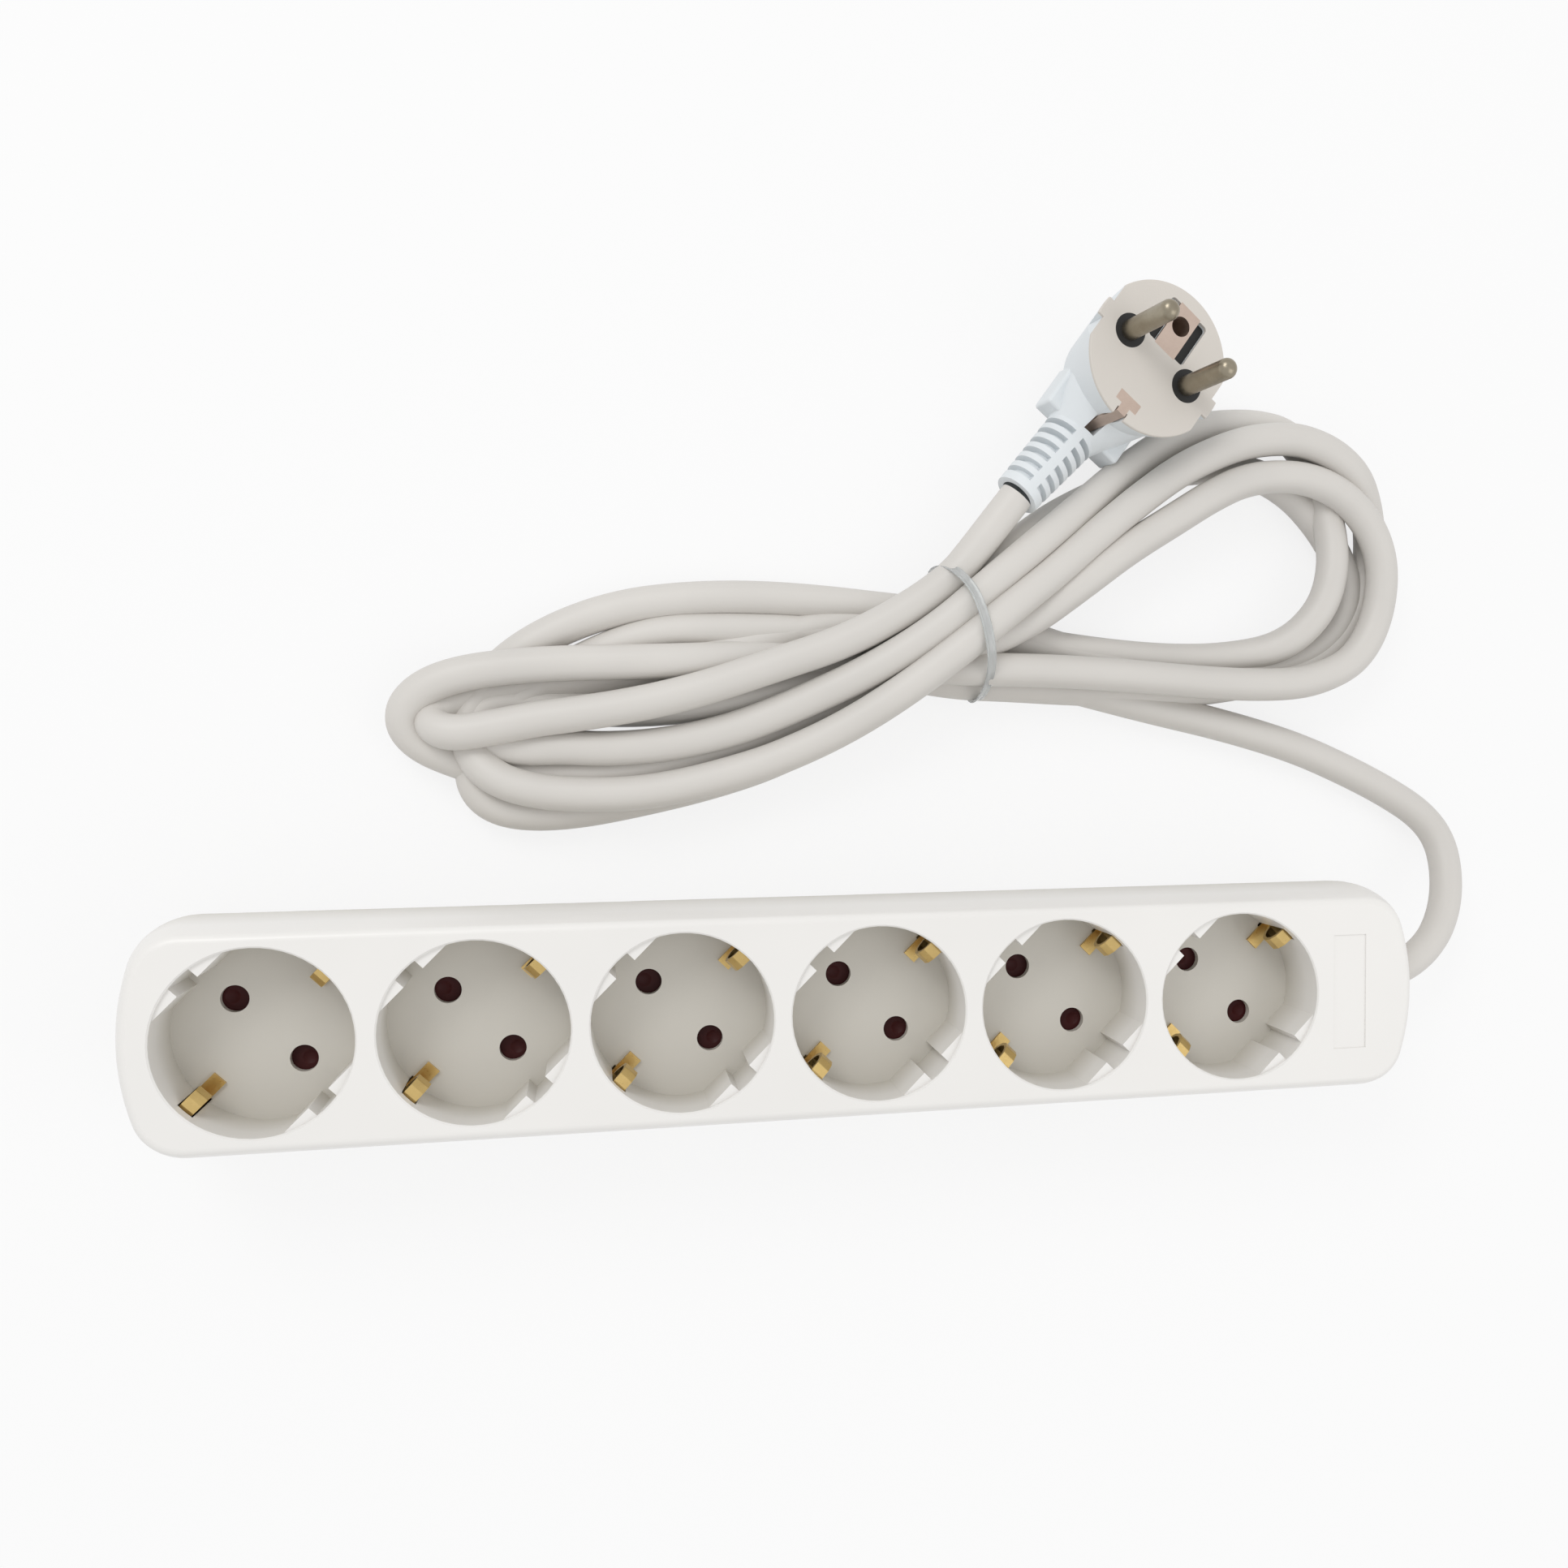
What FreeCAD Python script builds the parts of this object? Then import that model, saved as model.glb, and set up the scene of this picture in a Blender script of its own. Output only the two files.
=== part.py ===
"""Power strip: six round outlets in a white housing, with its cord tied in a hank and an angled plug.

Frame: millimetres, +Z up, +X along the housing towards the cord, +Y towards the hank and the plug.
The origin is at the middle of the housing's underside.
"""

import FreeCAD, Part
import math
import os

V = FreeCAD.Vector
UP = V(0, 0, 1)

# ---------------------------------------------------------------- driving dimensions

# Housing
BODY_LENGTH = 285.0  # of the plain block that the bowed walls are drawn round
BODY_WIDTH = 45.4
BODY_HEIGHT = 40.0
BELLY = 2.2  # how far each wall stands out from that block where it is widest
BELLY_LEVEL = 26.0
FACE_LEAN = 0.8  # how far inside the block each wall ends at the face
FOOT_LEAN = 1.6  # and at the underside
END_RADIUS = 52.0  # the bow of each end, in plan
CORNER_RADIUS = 10.0
EDGE_ROUND = 1.8
WALL = 2.0
BASE_THICKNESS = 2.6
BASE_GAP = 0.2  # between the base plate and the cover's wall
RIM_LIFT = 0.8  # the cover's rim stands this far above the underside
LABEL_INSET = 20.8  # from the housing's right end to the label area's far edge
LABEL_LENGTH = 8.3
LABEL_WIDTH = 27.3
LABEL_DEPTH = 0.3

# Outlets
OUTLETS = 6
FIRST_OUTLET = 25.5  # from the housing's left end
LAST_OUTLET = 44.5  # from its right end
OUTLET_ANGLE = 135.0  # the line through the two pin holes, in plan
RECESS_DIAMETER = 39.0
RECESS_DEPTH = 17.5
RECESS_LIP = 0.35
RECESS_WALL = 1.4
RECESS_FLOOR = 2.0
PIN_SPACING = 19.0
PIN_HOLE = 5.8
KEY_DISTANCE = 17.0  # from the middle of a recess to the flats at the ends of its pin line
KEY_NOTCH = 5.5
KEY_DROP = 1.0  # from the face down to the top of the flats

# Shutters
SHUTTER_THICKNESS = 2.8
SHUTTER_GAP = 0.3
SHUTTER_HALF_ANGLE = 22.0
SHUTTER_REACH = 3.9  # how far the pad spreads each way from the pin line's radius
PIVOT_RADIUS = 2.0
PIVOT_GAP = 0.05
PIVOT_TIP = 1.2  # the thinner end of the pivot, which carries the washer
END_PLAY = 0.1
WASHER_THICKNESS = 0.6
WASHER_RADIUS = 2.9
SPRING_WIRE = 0.4
SPRING_RADIUS = 4.0
SPRING_COILS = 2
SPRING_LEG = 8.0
PEG_RADIUS = 0.9

# Earth clips, bars and contacts
STRIP = 0.8  # the thickness of all the brass
CLIP_WIDTH = 3.2
CLIP_SLOT = 3.9
CLIP_NOSE = 15.3  # from the middle of a recess to the clip's nose
CLIP_FOOT = 14.0
CLIP_LEG = 20.6
CLIP_LOWER_ARM = 5.5  # above the recess floor
CLIP_SPAN = 7.0
CLIP_SLOT_HEIGHT = 14.0
EARTH_BAR_WIDTH = 4.0
STRAP_GAP = 0.5  # between a shutter's washer and the strap under it
BAR_LEVEL = 6.0
BAR_HEIGHT = 6.0
CONTACT_GAP = 4.4
CONTACT_WIDTH = 6.0
CONTACT_TOP = 14.2
CONTACT_BRIDGE = 2.8
BAR_INSET = 28.5  # from the housing's right end

# Screws and cord clamp
BOSS_RADIUS = 3.2
BOSS_INSET = 6.5  # from the housing's side
SCREW_RADIUS = 1.45
SCREW_GAP = 0.05
SCREW_LENGTH = 12.0
HEAD_RADIUS = 2.8
HEAD_HEIGHT = 1.2
HEAD_POCKET = 1.4
CLAMP_INSET = 14.0  # from the housing's right end to the saddle's far face
CLAMP_LENGTH = 7.0
CLAMP_WIDTH = 20.0
CLAMP_GAP = 3.6  # between the saddle and the bar, across the cord
CLAMP_BAR = 4.5
CLAMP_SCREW = 7.0  # from the middle line

# Cord
CORD_DIAMETER = 8.2
CORD_LEVEL = 20.0  # where the cord leaves the housing
CORD_HOLE_GAP = 0.2
CORD_START_INSET = 18.9  # from the housing's right end to where the sheath is stripped
CORD_FREE_INSET = 6.0  # from the same end to where the free cord starts
CORE_DIAMETER = 2.6
CORE_GAP = 0.3
BEND = 26.0  # the bend where the cord leaves the housing
HANK_HEIGHT = 17.0
BUNDLE_HALF = 18.6  # half the width of the strands where the tie holds them
BUNDLE_TOP = 22.5  # and the height of the round top that they make there
BUNDLE_SPREAD = 36.0  # how far each way from the tie that top sinks into the hank
TIE_THICKNESS = 1.0
TIE_WIDTH = 2.4
TIE_GAP = 0.1

# Plug
PLUG_DIAMETER = 36.6
PLUG_FLATS = 16.6  # from the middle to each flat at the ends of the pin line
PLUG_KEY = 4.8
PLUG_HEIGHT = 26.0
PLUG_FACE = 0.8  # the thickness of the face disc
PLUG_BACK_RADIUS = 12.2
PLUG_CENTRE = V(-60.8, 149.8, 28.6)  # from the housing's right end, at the middle of its underside
PLUG_TURN = -37.5
PLUG_LEAN = 11.0
PLUG_LEAN_TOWARDS = 7.0
PLUG_PIN_RADIUS = 2.4
PLUG_PIN_LENGTH = 19.0
PLUG_PIN_ROOT = 6.0
PLUG_ROOT_RADIUS = 1.9
COLLAR_RADIUS = 4.0
COLLAR_DEPTH = 2.5
EARTH_HOLE_OFFSET = 10.1
EARTH_HOLE_RADIUS = 2.4
EARTH_SLEEVE = 0.5
EARTH_PLATE_WIDTH = 6.4
EARTH_TAB_WIDTH = 2.6
BRIDGE_WIDTH = 11.6
BRIDGE_LEVEL = -1.4  # below the plug's face
BRIDGE_THICKNESS = 1.2
GRIP_REACH = 11.6  # from the middle plane to each finger grip's side
RELIEF_LEVEL = -20.3  # the strain relief's middle, from the plug's face
RELIEF_START = 20.0
RELIEF_LENGTH = 21.0
RELIEF_TOP_RADIUS = 6.9
RELIEF_END_RADIUS = 5.7
RELIEF_TURN = 6.5
RELIEF_SLOTS = 6
RELIEF_SLOT = 1.6
RELIEF_SPINE = 1.2

# ---------------------------------------------------------------- derived places

RECESS_RADIUS = RECESS_DIAMETER / 2
FLOOR_TOP = BODY_HEIGHT - RECESS_DEPTH
FLOOR_UNDER = FLOOR_TOP - RECESS_FLOOR
SHUTTER_TOP = FLOOR_UNDER - SHUTTER_GAP
SHUTTER_UNDER = SHUTTER_TOP - SHUTTER_THICKNESS
SPRING_PITCH = 1.1 * SPRING_WIRE
SPRING_START = SHUTTER_UNDER - SPRING_WIRE
WASHER_TOP = SHUTTER_UNDER - END_PLAY
WASHER_UNDER = WASHER_TOP - WASHER_THICKNESS
STRAP_TOP = WASHER_UNDER - STRAP_GAP
STRAP_UNDER = STRAP_TOP - STRIP
PIN_ORBIT = PIN_SPACING / 2
PIN_Y = PIN_ORBIT * math.sin(math.radians(OUTLET_ANGLE))
HALF_LENGTH = BODY_LENGTH / 2
BOSS_OFFSET = BODY_WIDTH / 2 - BOSS_INSET
PITCH = (BODY_LENGTH - FIRST_OUTLET - LAST_OUTLET) / (OUTLETS - 1)
OUTLET_X = [-HALF_LENGTH + FIRST_OUTLET + i * PITCH for i in range(OUTLETS)]
LABEL_LEFT = HALF_LENGTH - LABEL_INSET
BAR_END = HALF_LENGTH - BAR_INSET
CLAMP_X = HALF_LENGTH - CLAMP_INSET
CORD_START = HALF_LENGTH - CORD_START_INSET
CORD_FREE = HALF_LENGTH - CORD_FREE_INSET
CORD_RADIUS = CORD_DIAMETER / 2

made = {}


def save(name, shape):
    """Exports one node and keeps it for the figures printed at the end."""
    made[name] = shape
    shape.exportStep(f"parts/{name}.step")


# ---------------------------------------------------------------- helpers


def box(x0, x1, y0, y1, z0, z1):
    return Part.makeBox(x1 - x0, y1 - y0, z1 - z0, V(x0, y0, z0))


def rod(radius, z0, z1, x=0.0, y=0.0):
    return Part.makeCylinder(radius, z1 - z0, V(x, y, z0))


def turned(shape, degrees, x=0.0, y=0.0):
    """A copy turned about the vertical through the origin, then moved to x, y."""
    copy = shape.copy()
    copy.rotate(V(0, 0, 0), UP, degrees)
    copy.translate(V(x, y, 0))
    return copy


def outline(wall_inset, z):
    """The housing's plan at a height: straight sides, rounded corners and bowed ends."""
    lean, run = (FOOT_LEAN, BELLY_LEVEL) if z < BELLY_LEVEL else (FACE_LEAN, BODY_HEIGHT - BELLY_LEVEL)
    inset = wall_inset - BELLY + (BELLY + lean) * ((z - BELLY_LEVEL) / run) ** 2
    half_width = BODY_WIDTH / 2 - inset
    half_length = HALF_LENGTH - inset
    end = END_RADIUS - inset
    corner = CORNER_RADIUS - inset
    centre = half_length - end
    corner_x = centre + math.sqrt((end - corner) ** 2 - (half_width - corner) ** 2)
    corner_y = half_width - corner
    lean = math.atan2(corner_y, corner_x - centre)
    tangent = V(centre + end * math.cos(lean), end * math.sin(lean), z)
    middle = (lean + math.pi / 2) / 2
    knee = V(corner_x + corner * math.cos(middle), corner_y + corner * math.sin(middle), z)
    shoulder = V(corner_x, half_width, z)

    def flip(p, sx, sy):
        return V(sx * p.x, sy * p.y, p.z)

    edges = []
    for side in (1, -1):
        edges.append(Part.Arc(flip(tangent, side, -side), V(side * half_length, 0, z), flip(tangent, side, side)))
        edges.append(Part.Arc(flip(tangent, side, side), flip(knee, side, side), flip(shoulder, side, side)))
        edges.append(Part.LineSegment(flip(shoulder, side, side), flip(shoulder, -side, side)))
        edges.append(Part.Arc(flip(shoulder, -side, side), flip(knee, -side, side), flip(tangent, -side, side)))
    return Part.Wire([e.toShape() for e in edges])


def bowed(inset, z0, z1):
    """A block inside the housing's bowed walls, between two heights."""
    return Part.makeLoft([outline(inset, z0 + (z1 - z0) * i / 5) for i in range(6)], True, False)


def corner_arc(before, point, after):
    """The two tangent points and the middle of the arc that rounds one corner of a route."""
    run = min((before - point).Length, (after - point).Length)
    to_before = (before - point).normalize()
    to_after = (after - point).normalize()
    half_turn = (math.pi - to_before.getAngle(to_after)) / 2
    tangent = 0.45 * run
    radius = tangent / math.tan(half_turn)
    inward = (to_before + to_after).normalize()
    middle = point + inward * (radius / math.cos(half_turn) - radius)
    return point + to_before * tangent, middle, point + to_after * tangent, radius


def route(points):
    """A wire of straight runs joined by tangent arcs, and the radii of its arcs."""
    edges, radii = [], []
    last = points[0]
    for before, point, after in zip(points, points[1:], points[2:]):
        start, middle, end, radius = corner_arc(before, point, after)
        edges.append(Part.LineSegment(last, start).toShape())
        edges.append(Part.Arc(start, middle, end).toShape())
        radii.append(radius)
        last = end
    edges.append(Part.LineSegment(last, points[-1]).toShape())
    return Part.Wire(edges), radii


def closed_route(points):
    """A closed wire of straight runs joined by tangent arcs."""
    corners = [corner_arc(points[i - 1], points[i], points[(i + 1) % len(points)]) for i in range(len(points))]
    edges = []
    for (start, middle, end, _), following in zip(corners, corners[1:] + corners[:1]):
        edges.append(Part.Arc(start, middle, end).toShape())
        edges.append(Part.LineSegment(end, following[0]).toShape())
    return Part.Wire(edges)


def tube(points, radius):
    wire, radii = route(points)
    ring = Part.Wire([Part.Circle(points[0], points[1] - points[0], radius).toShape()])
    return wire.makePipeShell([ring], True, False), wire.Length, radii


def report_tube(name, shape, length, radii, radius):
    share = shape.Volume / (math.pi * radius**2 * length)
    listed = ", ".join(f"{r:.1f}" for r in radii)
    print(f"{name}: length {length:.1f} mm, arc radii {listed} mm, volume / (section x length) {share:.4f}")


def strip_run(ends, thickness, width):
    """A bent strip in the X-Z plane: one flat run per pair of points, with a round at each bend."""
    shape = None
    for a, b in zip(ends, ends[1:]):
        length = math.hypot(b[0] - a[0], b[1] - a[1])
        run = box(0, length, -width / 2, width / 2, -thickness / 2, thickness / 2)
        run.rotate(V(0, 0, 0), V(0, -1, 0), math.degrees(math.atan2(b[1] - a[1], b[0] - a[0])))
        run.translate(V(a[0], 0, a[1]))
        shape = run if shape is None else shape.fuse(run)
    for a in ends[1:-1]:
        shape = shape.fuse(Part.makeCylinder(thickness / 2, width, V(a[0], -width / 2, a[1]), V(0, 1, 0)))
    return shape.removeSplitter()


# ---------------------------------------------------------------- housing

boss_places = [((OUTLET_X[i] + OUTLET_X[i + 1]) / 2, side * BOSS_OFFSET) for i in (0, OUTLETS - 2) for side in (1, -1)]
boss_pilot = SCREW_RADIUS + SCREW_GAP
face_inside = BODY_HEIGHT - WALL


def recess():
    """What one outlet takes out of the face, about its own middle with the pin line along X."""
    cut = rod(RECESS_RADIUS, FLOOR_TOP, BODY_HEIGHT + 1)
    for side in (0, 180):
        flat = box(KEY_DISTANCE, RECESS_RADIUS + 5, -RECESS_RADIUS, RECESS_RADIUS, FLOOR_TOP - 1, BODY_HEIGHT - KEY_DROP)
        flat = flat.cut(box(KEY_DISTANCE - 1, RECESS_RADIUS + 6, -KEY_NOTCH / 2, KEY_NOTCH / 2, 0, BODY_HEIGHT))
        cut = cut.cut(turned(flat, side))
        cut = cut.fuse(turned(rod(PIN_HOLE / 2, FLOOR_UNDER - 1, FLOOR_TOP + 1, PIN_ORBIT), side))
        slot_end = CLIP_LEG + STRIP / 2 + SHUTTER_GAP
        slot = box(RECESS_RADIUS - 1, slot_end, -CLIP_SLOT / 2, CLIP_SLOT / 2, FLOOR_UNDER - 1, FLOOR_TOP + CLIP_SLOT_HEIGHT)
        cut = cut.fuse(turned(slot, side + 90))
    lip = Part.makeCone(RECESS_RADIUS, RECESS_RADIUS + 2 * RECESS_LIP, 2 * RECESS_LIP, V(0, 0, BODY_HEIGHT - RECESS_LIP))
    return cut.fuse(lip)


def build_cover():
    cover = bowed(0, RIM_LIFT, BODY_HEIGHT)
    top = [e for e in cover.Edges if all(abs(v.Point.z - BODY_HEIGHT) < 0.01 for v in e.Vertexes)]
    cover = cover.makeFillet(min(EDGE_ROUND, WALL), top)
    inside = bowed(WALL, 0, face_inside)
    for x in OUTLET_X:
        inside = inside.cut(rod(RECESS_RADIUS + RECESS_WALL, FLOOR_UNDER, BODY_HEIGHT, x))
    cover = cover.cut(inside)
    for x, y in boss_places:
        boss = rod(BOSS_RADIUS, BASE_THICKNESS, face_inside + 0.5, x, y)
        cover = cover.fuse(boss).cut(rod(boss_pilot, 0, HEAD_POCKET + SCREW_LENGTH + 1, x, y))
    for x in OUTLET_X:
        cover = cover.cut(turned(recess(), OUTLET_ANGLE, x))
        pivot = rod(PIVOT_RADIUS, WASHER_TOP, FLOOR_UNDER + 0.5).fuse(rod(PIVOT_TIP, WASHER_UNDER, SHUTTER_UNDER))
        cover = cover.fuse(turned(pivot, 0, x))
        cover = cover.fuse(turned(spring_peg(), OUTLET_ANGLE, x))
    hole = Part.makeCylinder(CORD_RADIUS + CORD_HOLE_GAP, 3 * WALL + BELLY, V(HALF_LENGTH - 2 * WALL, 0, CORD_LEVEL), V(1, 0, 0))
    label = box(LABEL_LEFT, LABEL_LEFT + LABEL_LENGTH, -LABEL_WIDTH / 2, LABEL_WIDTH / 2, BODY_HEIGHT - LABEL_DEPTH, BODY_HEIGHT + 1)
    return cover.cut(hole).cut(label).removeSplitter()


def spring_peg():
    """The peg that holds a shutter spring's fixed leg, with the pin line along X."""
    x = -SPRING_RADIUS + SPRING_WIRE / 2 + PEG_RADIUS
    return rod(PEG_RADIUS, SPRING_START - SPRING_WIRE, FLOOR_UNDER + 0.5, x, SPRING_LEG - PEG_RADIUS)


def build_base():
    plate = bowed(WALL + BASE_GAP, 0, BASE_THICKNESS)
    for i, x in enumerate(OUTLET_X):
        rib_x = x + PITCH / 2
        if i == OUTLETS - 1:
            rib_x = BAR_END - 2
        half = PIN_Y + CONTACT_GAP / 2 + 2 * STRIP
        plate = plate.fuse(box(rib_x - 1, rib_x + 1, -half, half, BASE_THICKNESS - 0.5, BAR_LEVEL))
        plate = plate.fuse(box(rib_x - 1, rib_x + 1, -EARTH_BAR_WIDTH / 2, EARTH_BAR_WIDTH / 2, BASE_THICKNESS, STRAP_UNDER - STRIP))
    for x, y in boss_places:
        plate = plate.cut(rod(SCREW_RADIUS + 2 * SCREW_GAP, -1, BASE_THICKNESS + 1, x, y))
        plate = plate.cut(rod(HEAD_RADIUS + 0.2, -1, HEAD_POCKET, x, y))
    half = CLAMP_WIDTH / 2
    saddle = box(CLAMP_X, CLAMP_X + CLAMP_LENGTH, -half, half, BASE_THICKNESS - 0.5, CORD_LEVEL - CLAMP_GAP / 2)
    plate = plate.fuse(saddle).cut(clamp_bore())
    for side in (1, -1):
        pilot = rod(boss_pilot, BASE_THICKNESS + 4, BODY_HEIGHT, CLAMP_X + CLAMP_LENGTH / 2, side * CLAMP_SCREW)
        plate = plate.cut(pilot)
    return plate.removeSplitter()


def clamp_bore():
    return Part.makeCylinder(CORD_RADIUS, CLAMP_LENGTH + 2, V(CLAMP_X - 1, 0, CORD_LEVEL), V(1, 0, 0))


def build_clamp():
    half = CLAMP_WIDTH / 2
    under = CORD_LEVEL + CLAMP_GAP / 2
    bar = box(CLAMP_X, CLAMP_X + CLAMP_LENGTH, -half, half, under, under + CLAMP_BAR).cut(clamp_bore())
    for side in (1, -1):
        bar = bar.cut(rod(boss_pilot, 0, BODY_HEIGHT, CLAMP_X + CLAMP_LENGTH / 2, side * CLAMP_SCREW))
    return bar


def screw(head_height):
    """A screw with its head's top at the origin, pointing up."""
    head = rod(HEAD_RADIUS, 0, head_height)
    head = head.makeFillet(0.3, [e for e in head.Edges if abs(e.BoundBox.ZMax) < 0.01])
    cross = box(-1.7, 1.7, -0.3, 0.3, -1, 0.6).fuse(box(-0.3, 0.3, -1.7, 1.7, -1, 0.6))
    return head.fuse(rod(SCREW_RADIUS, head_height, SCREW_LENGTH)).cut(cross)


# ---------------------------------------------------------------- outlets' inner parts


def build_shutter():
    """A hub with a pad over each pin hole, about the outlet's middle with the pin line along X."""
    outer = PIN_ORBIT + SHUTTER_REACH
    inner = PIN_ORBIT - SHUTTER_REACH
    shape = rod(inner + 0.4, SHUTTER_UNDER, SHUTTER_TOP)
    for side in (0, 180):
        pad = Part.makeCylinder(outer, SHUTTER_THICKNESS, V(0, 0, SHUTTER_UNDER), UP, 2 * SHUTTER_HALF_ANGLE)
        pad = turned(pad, side - SHUTTER_HALF_ANGLE)
        dimple = Part.makeSphere(3.0, V(PIN_ORBIT + 0.7, 0.5, SHUTTER_TOP + 2.6))
        shape = shape.fuse(pad).cut(turned(dimple, side))
    shape = shape.cut(rod(PIVOT_RADIUS + PIVOT_GAP, 0, BODY_HEIGHT))
    well_top = SPRING_START + SPRING_COILS * SPRING_PITCH + SPRING_WIRE
    well = rod(SPRING_RADIUS + 2 * SPRING_WIRE, 0, well_top).cut(rod(SPRING_RADIUS - 2 * SPRING_WIRE, 0, well_top))
    return shape.cut(well).removeSplitter()


def build_spring():
    """A torsion spring round the pivot, in the shutter's underside, with one leg out to the cover's peg."""
    coil = Part.makeHelix(SPRING_PITCH, SPRING_COILS * SPRING_PITCH, SPRING_RADIUS)
    leg = Part.LineSegment(V(SPRING_RADIUS, -SPRING_LEG, 0), V(SPRING_RADIUS, 0, 0)).toShape()
    ring = Part.Wire([Part.Circle(V(SPRING_RADIUS, -SPRING_LEG, 0), V(0, 1, 0), SPRING_WIRE / 2).toShape()])
    spring = Part.Wire([leg] + coil.Edges).makePipeShell([ring], True, True)
    spring.translate(V(0, 0, SPRING_START))
    return turned(spring, 180)


def build_strap():
    """Two earth clips and the strap that joins them, about the outlet's middle with the clips along X."""
    level = (STRAP_TOP + STRAP_UNDER) / 2
    low = FLOOR_TOP + CLIP_LOWER_ARM
    nose = CLIP_SPAN / 2
    ends = [(0, level), (CLIP_LEG, level), (CLIP_LEG, low)]
    centre = (CLIP_NOSE + STRIP / 2 + nose, low + nose)
    for step in range(7):
        turn = math.radians(270 - 30 * step)
        ends.append((centre[0] + nose * math.cos(turn), centre[1] + nose * math.sin(turn)))
    ends.append((CLIP_LEG, low + CLIP_SPAN))
    arm = strip_run(ends, STRIP, CLIP_WIDTH)
    foot = box(CLIP_FOOT, CLIP_LEG, -CLIP_WIDTH / 2, CLIP_WIDTH / 2, FLOOR_TOP, FLOOR_TOP + STRIP)
    arm = arm.fuse(foot)
    return arm.fuse(turned(arm, 180)).removeSplitter()


def build_bar(side):
    """The bar for one row of pins, with a pair of contact leaves for each outlet."""
    first = OUTLET_X[0] - side * PIN_Y
    inner = PIN_Y + CONTACT_GAP / 2
    shape = box(first - CONTACT_WIDTH, BAR_END, inner, inner + STRIP, BAR_LEVEL, BAR_LEVEL + BAR_HEIGHT)
    for x in OUTLET_X:
        pin = x - side * PIN_Y
        left, right = pin - CONTACT_WIDTH / 2, pin + CONTACT_WIDTH / 2
        far = right + CONTACT_BRIDGE
        shape = shape.fuse(box(left, right, inner, inner + STRIP, BAR_LEVEL, CONTACT_TOP))
        shape = shape.fuse(box(right, far, inner - CONTACT_GAP - STRIP, inner + STRIP, BAR_LEVEL, BAR_LEVEL + STRIP))
        near = inner - CONTACT_GAP
        shape = shape.fuse(box(left, far, near - STRIP, near, BAR_LEVEL, BAR_LEVEL + BAR_HEIGHT))
        shape = shape.fuse(box(left, right, near - STRIP, near, BAR_LEVEL, CONTACT_TOP))
    if side < 0:
        shape = shape.mirror(V(0, 0, 0), V(0, 1, 0))
    return shape.removeSplitter()


def build_earth_bar():
    start = OUTLET_X[0] - CONTACT_WIDTH
    half = EARTH_BAR_WIDTH / 2
    return box(start, BAR_END, -half, half, STRAP_UNDER - STRIP, STRAP_UNDER)


os.makedirs("parts", exist_ok=True)

save("top_cover", build_cover())
save("base_cover", build_base())
for number, (x, y) in enumerate(boss_places, 1):
    save(f"cover_screw_{number}", turned(screw(HEAD_HEIGHT), 0, x, y).translated(V(0, 0, HEAD_POCKET - HEAD_HEIGHT)))
for number, x in enumerate(OUTLET_X, 1):
    save(f"shutter_{number}", turned(build_shutter(), OUTLET_ANGLE, x))
    save(f"shutter_spring_{number}", turned(build_spring(), OUTLET_ANGLE, x))
    washer = rod(WASHER_RADIUS, WASHER_UNDER, WASHER_TOP).cut(rod(PIVOT_TIP, 0, BODY_HEIGHT))
    save(f"shutter_washer_{number}", turned(washer, 0, x))
    save(f"earth_strap_{number}", turned(build_strap(), OUTLET_ANGLE - 90, x))
save("earth_busbar", build_earth_bar())
save("line_busbar", build_bar(1))
save("neutral_busbar", build_bar(-1))

# ---------------------------------------------------------------- cord inside the housing

save("cord_clamp", build_clamp())
clamp_top = CORD_LEVEL + CLAMP_GAP / 2 + CLAMP_BAR
for number, side in enumerate((1, -1), 1):
    clamp_screw = screw(1.6).mirror(V(0, 0, 0), UP)
    clamp_screw.translate(V(CLAMP_X + CLAMP_LENGTH / 2, side * CLAMP_SCREW, clamp_top + 1.6))
    save(f"clamp_screw_{number}", clamp_screw)

cord_end = Part.makeCylinder(CORD_RADIUS, CORD_FREE - CORD_START, V(CORD_START, 0, CORD_LEVEL), V(1, 0, 0))
save("cord_end", cord_end)

bar_y = PIN_Y + CONTACT_GAP / 2 + STRIP / 2
bar_z = BAR_LEVEL + BAR_HEIGHT / 2
core_in = CORD_START - CORE_GAP
core_out = BAR_END + CORE_GAP
earth_z = STRAP_UNDER - STRIP / 2
core_z = CORD_LEVEL + 2.2
core_points = {
    "core_earth": [
        V(core_in, 0, core_z),
        V(core_in - 1.6, 0, core_z),
        V(core_in - 2.7, 0, core_z - 4.2),
        V(core_out + 3.0, 0, earth_z),
        V(core_out, 0, earth_z),
    ]
}
core_z = CORD_LEVEL - 1.4
for name, side in (("core_line", 1), ("core_neutral", -1)):
    core_points[name] = [
        V(core_in, side * 2.2, core_z),
        V(core_in - 1.6, side * 2.2, core_z),
        V(core_in - 3.7, side * 6.0, core_z - 3.6),
        V(core_out + 2.6, side * bar_y, bar_z),
        V(core_out, side * bar_y, bar_z),
    ]
for name, points in core_points.items():
    core, length, radii = tube(points, CORE_DIAMETER / 2)
    save(name, core)
    report_tube(name, core, length, radii, CORE_DIAMETER / 2)

# ---------------------------------------------------------------- free cord, hank and tie

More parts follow.
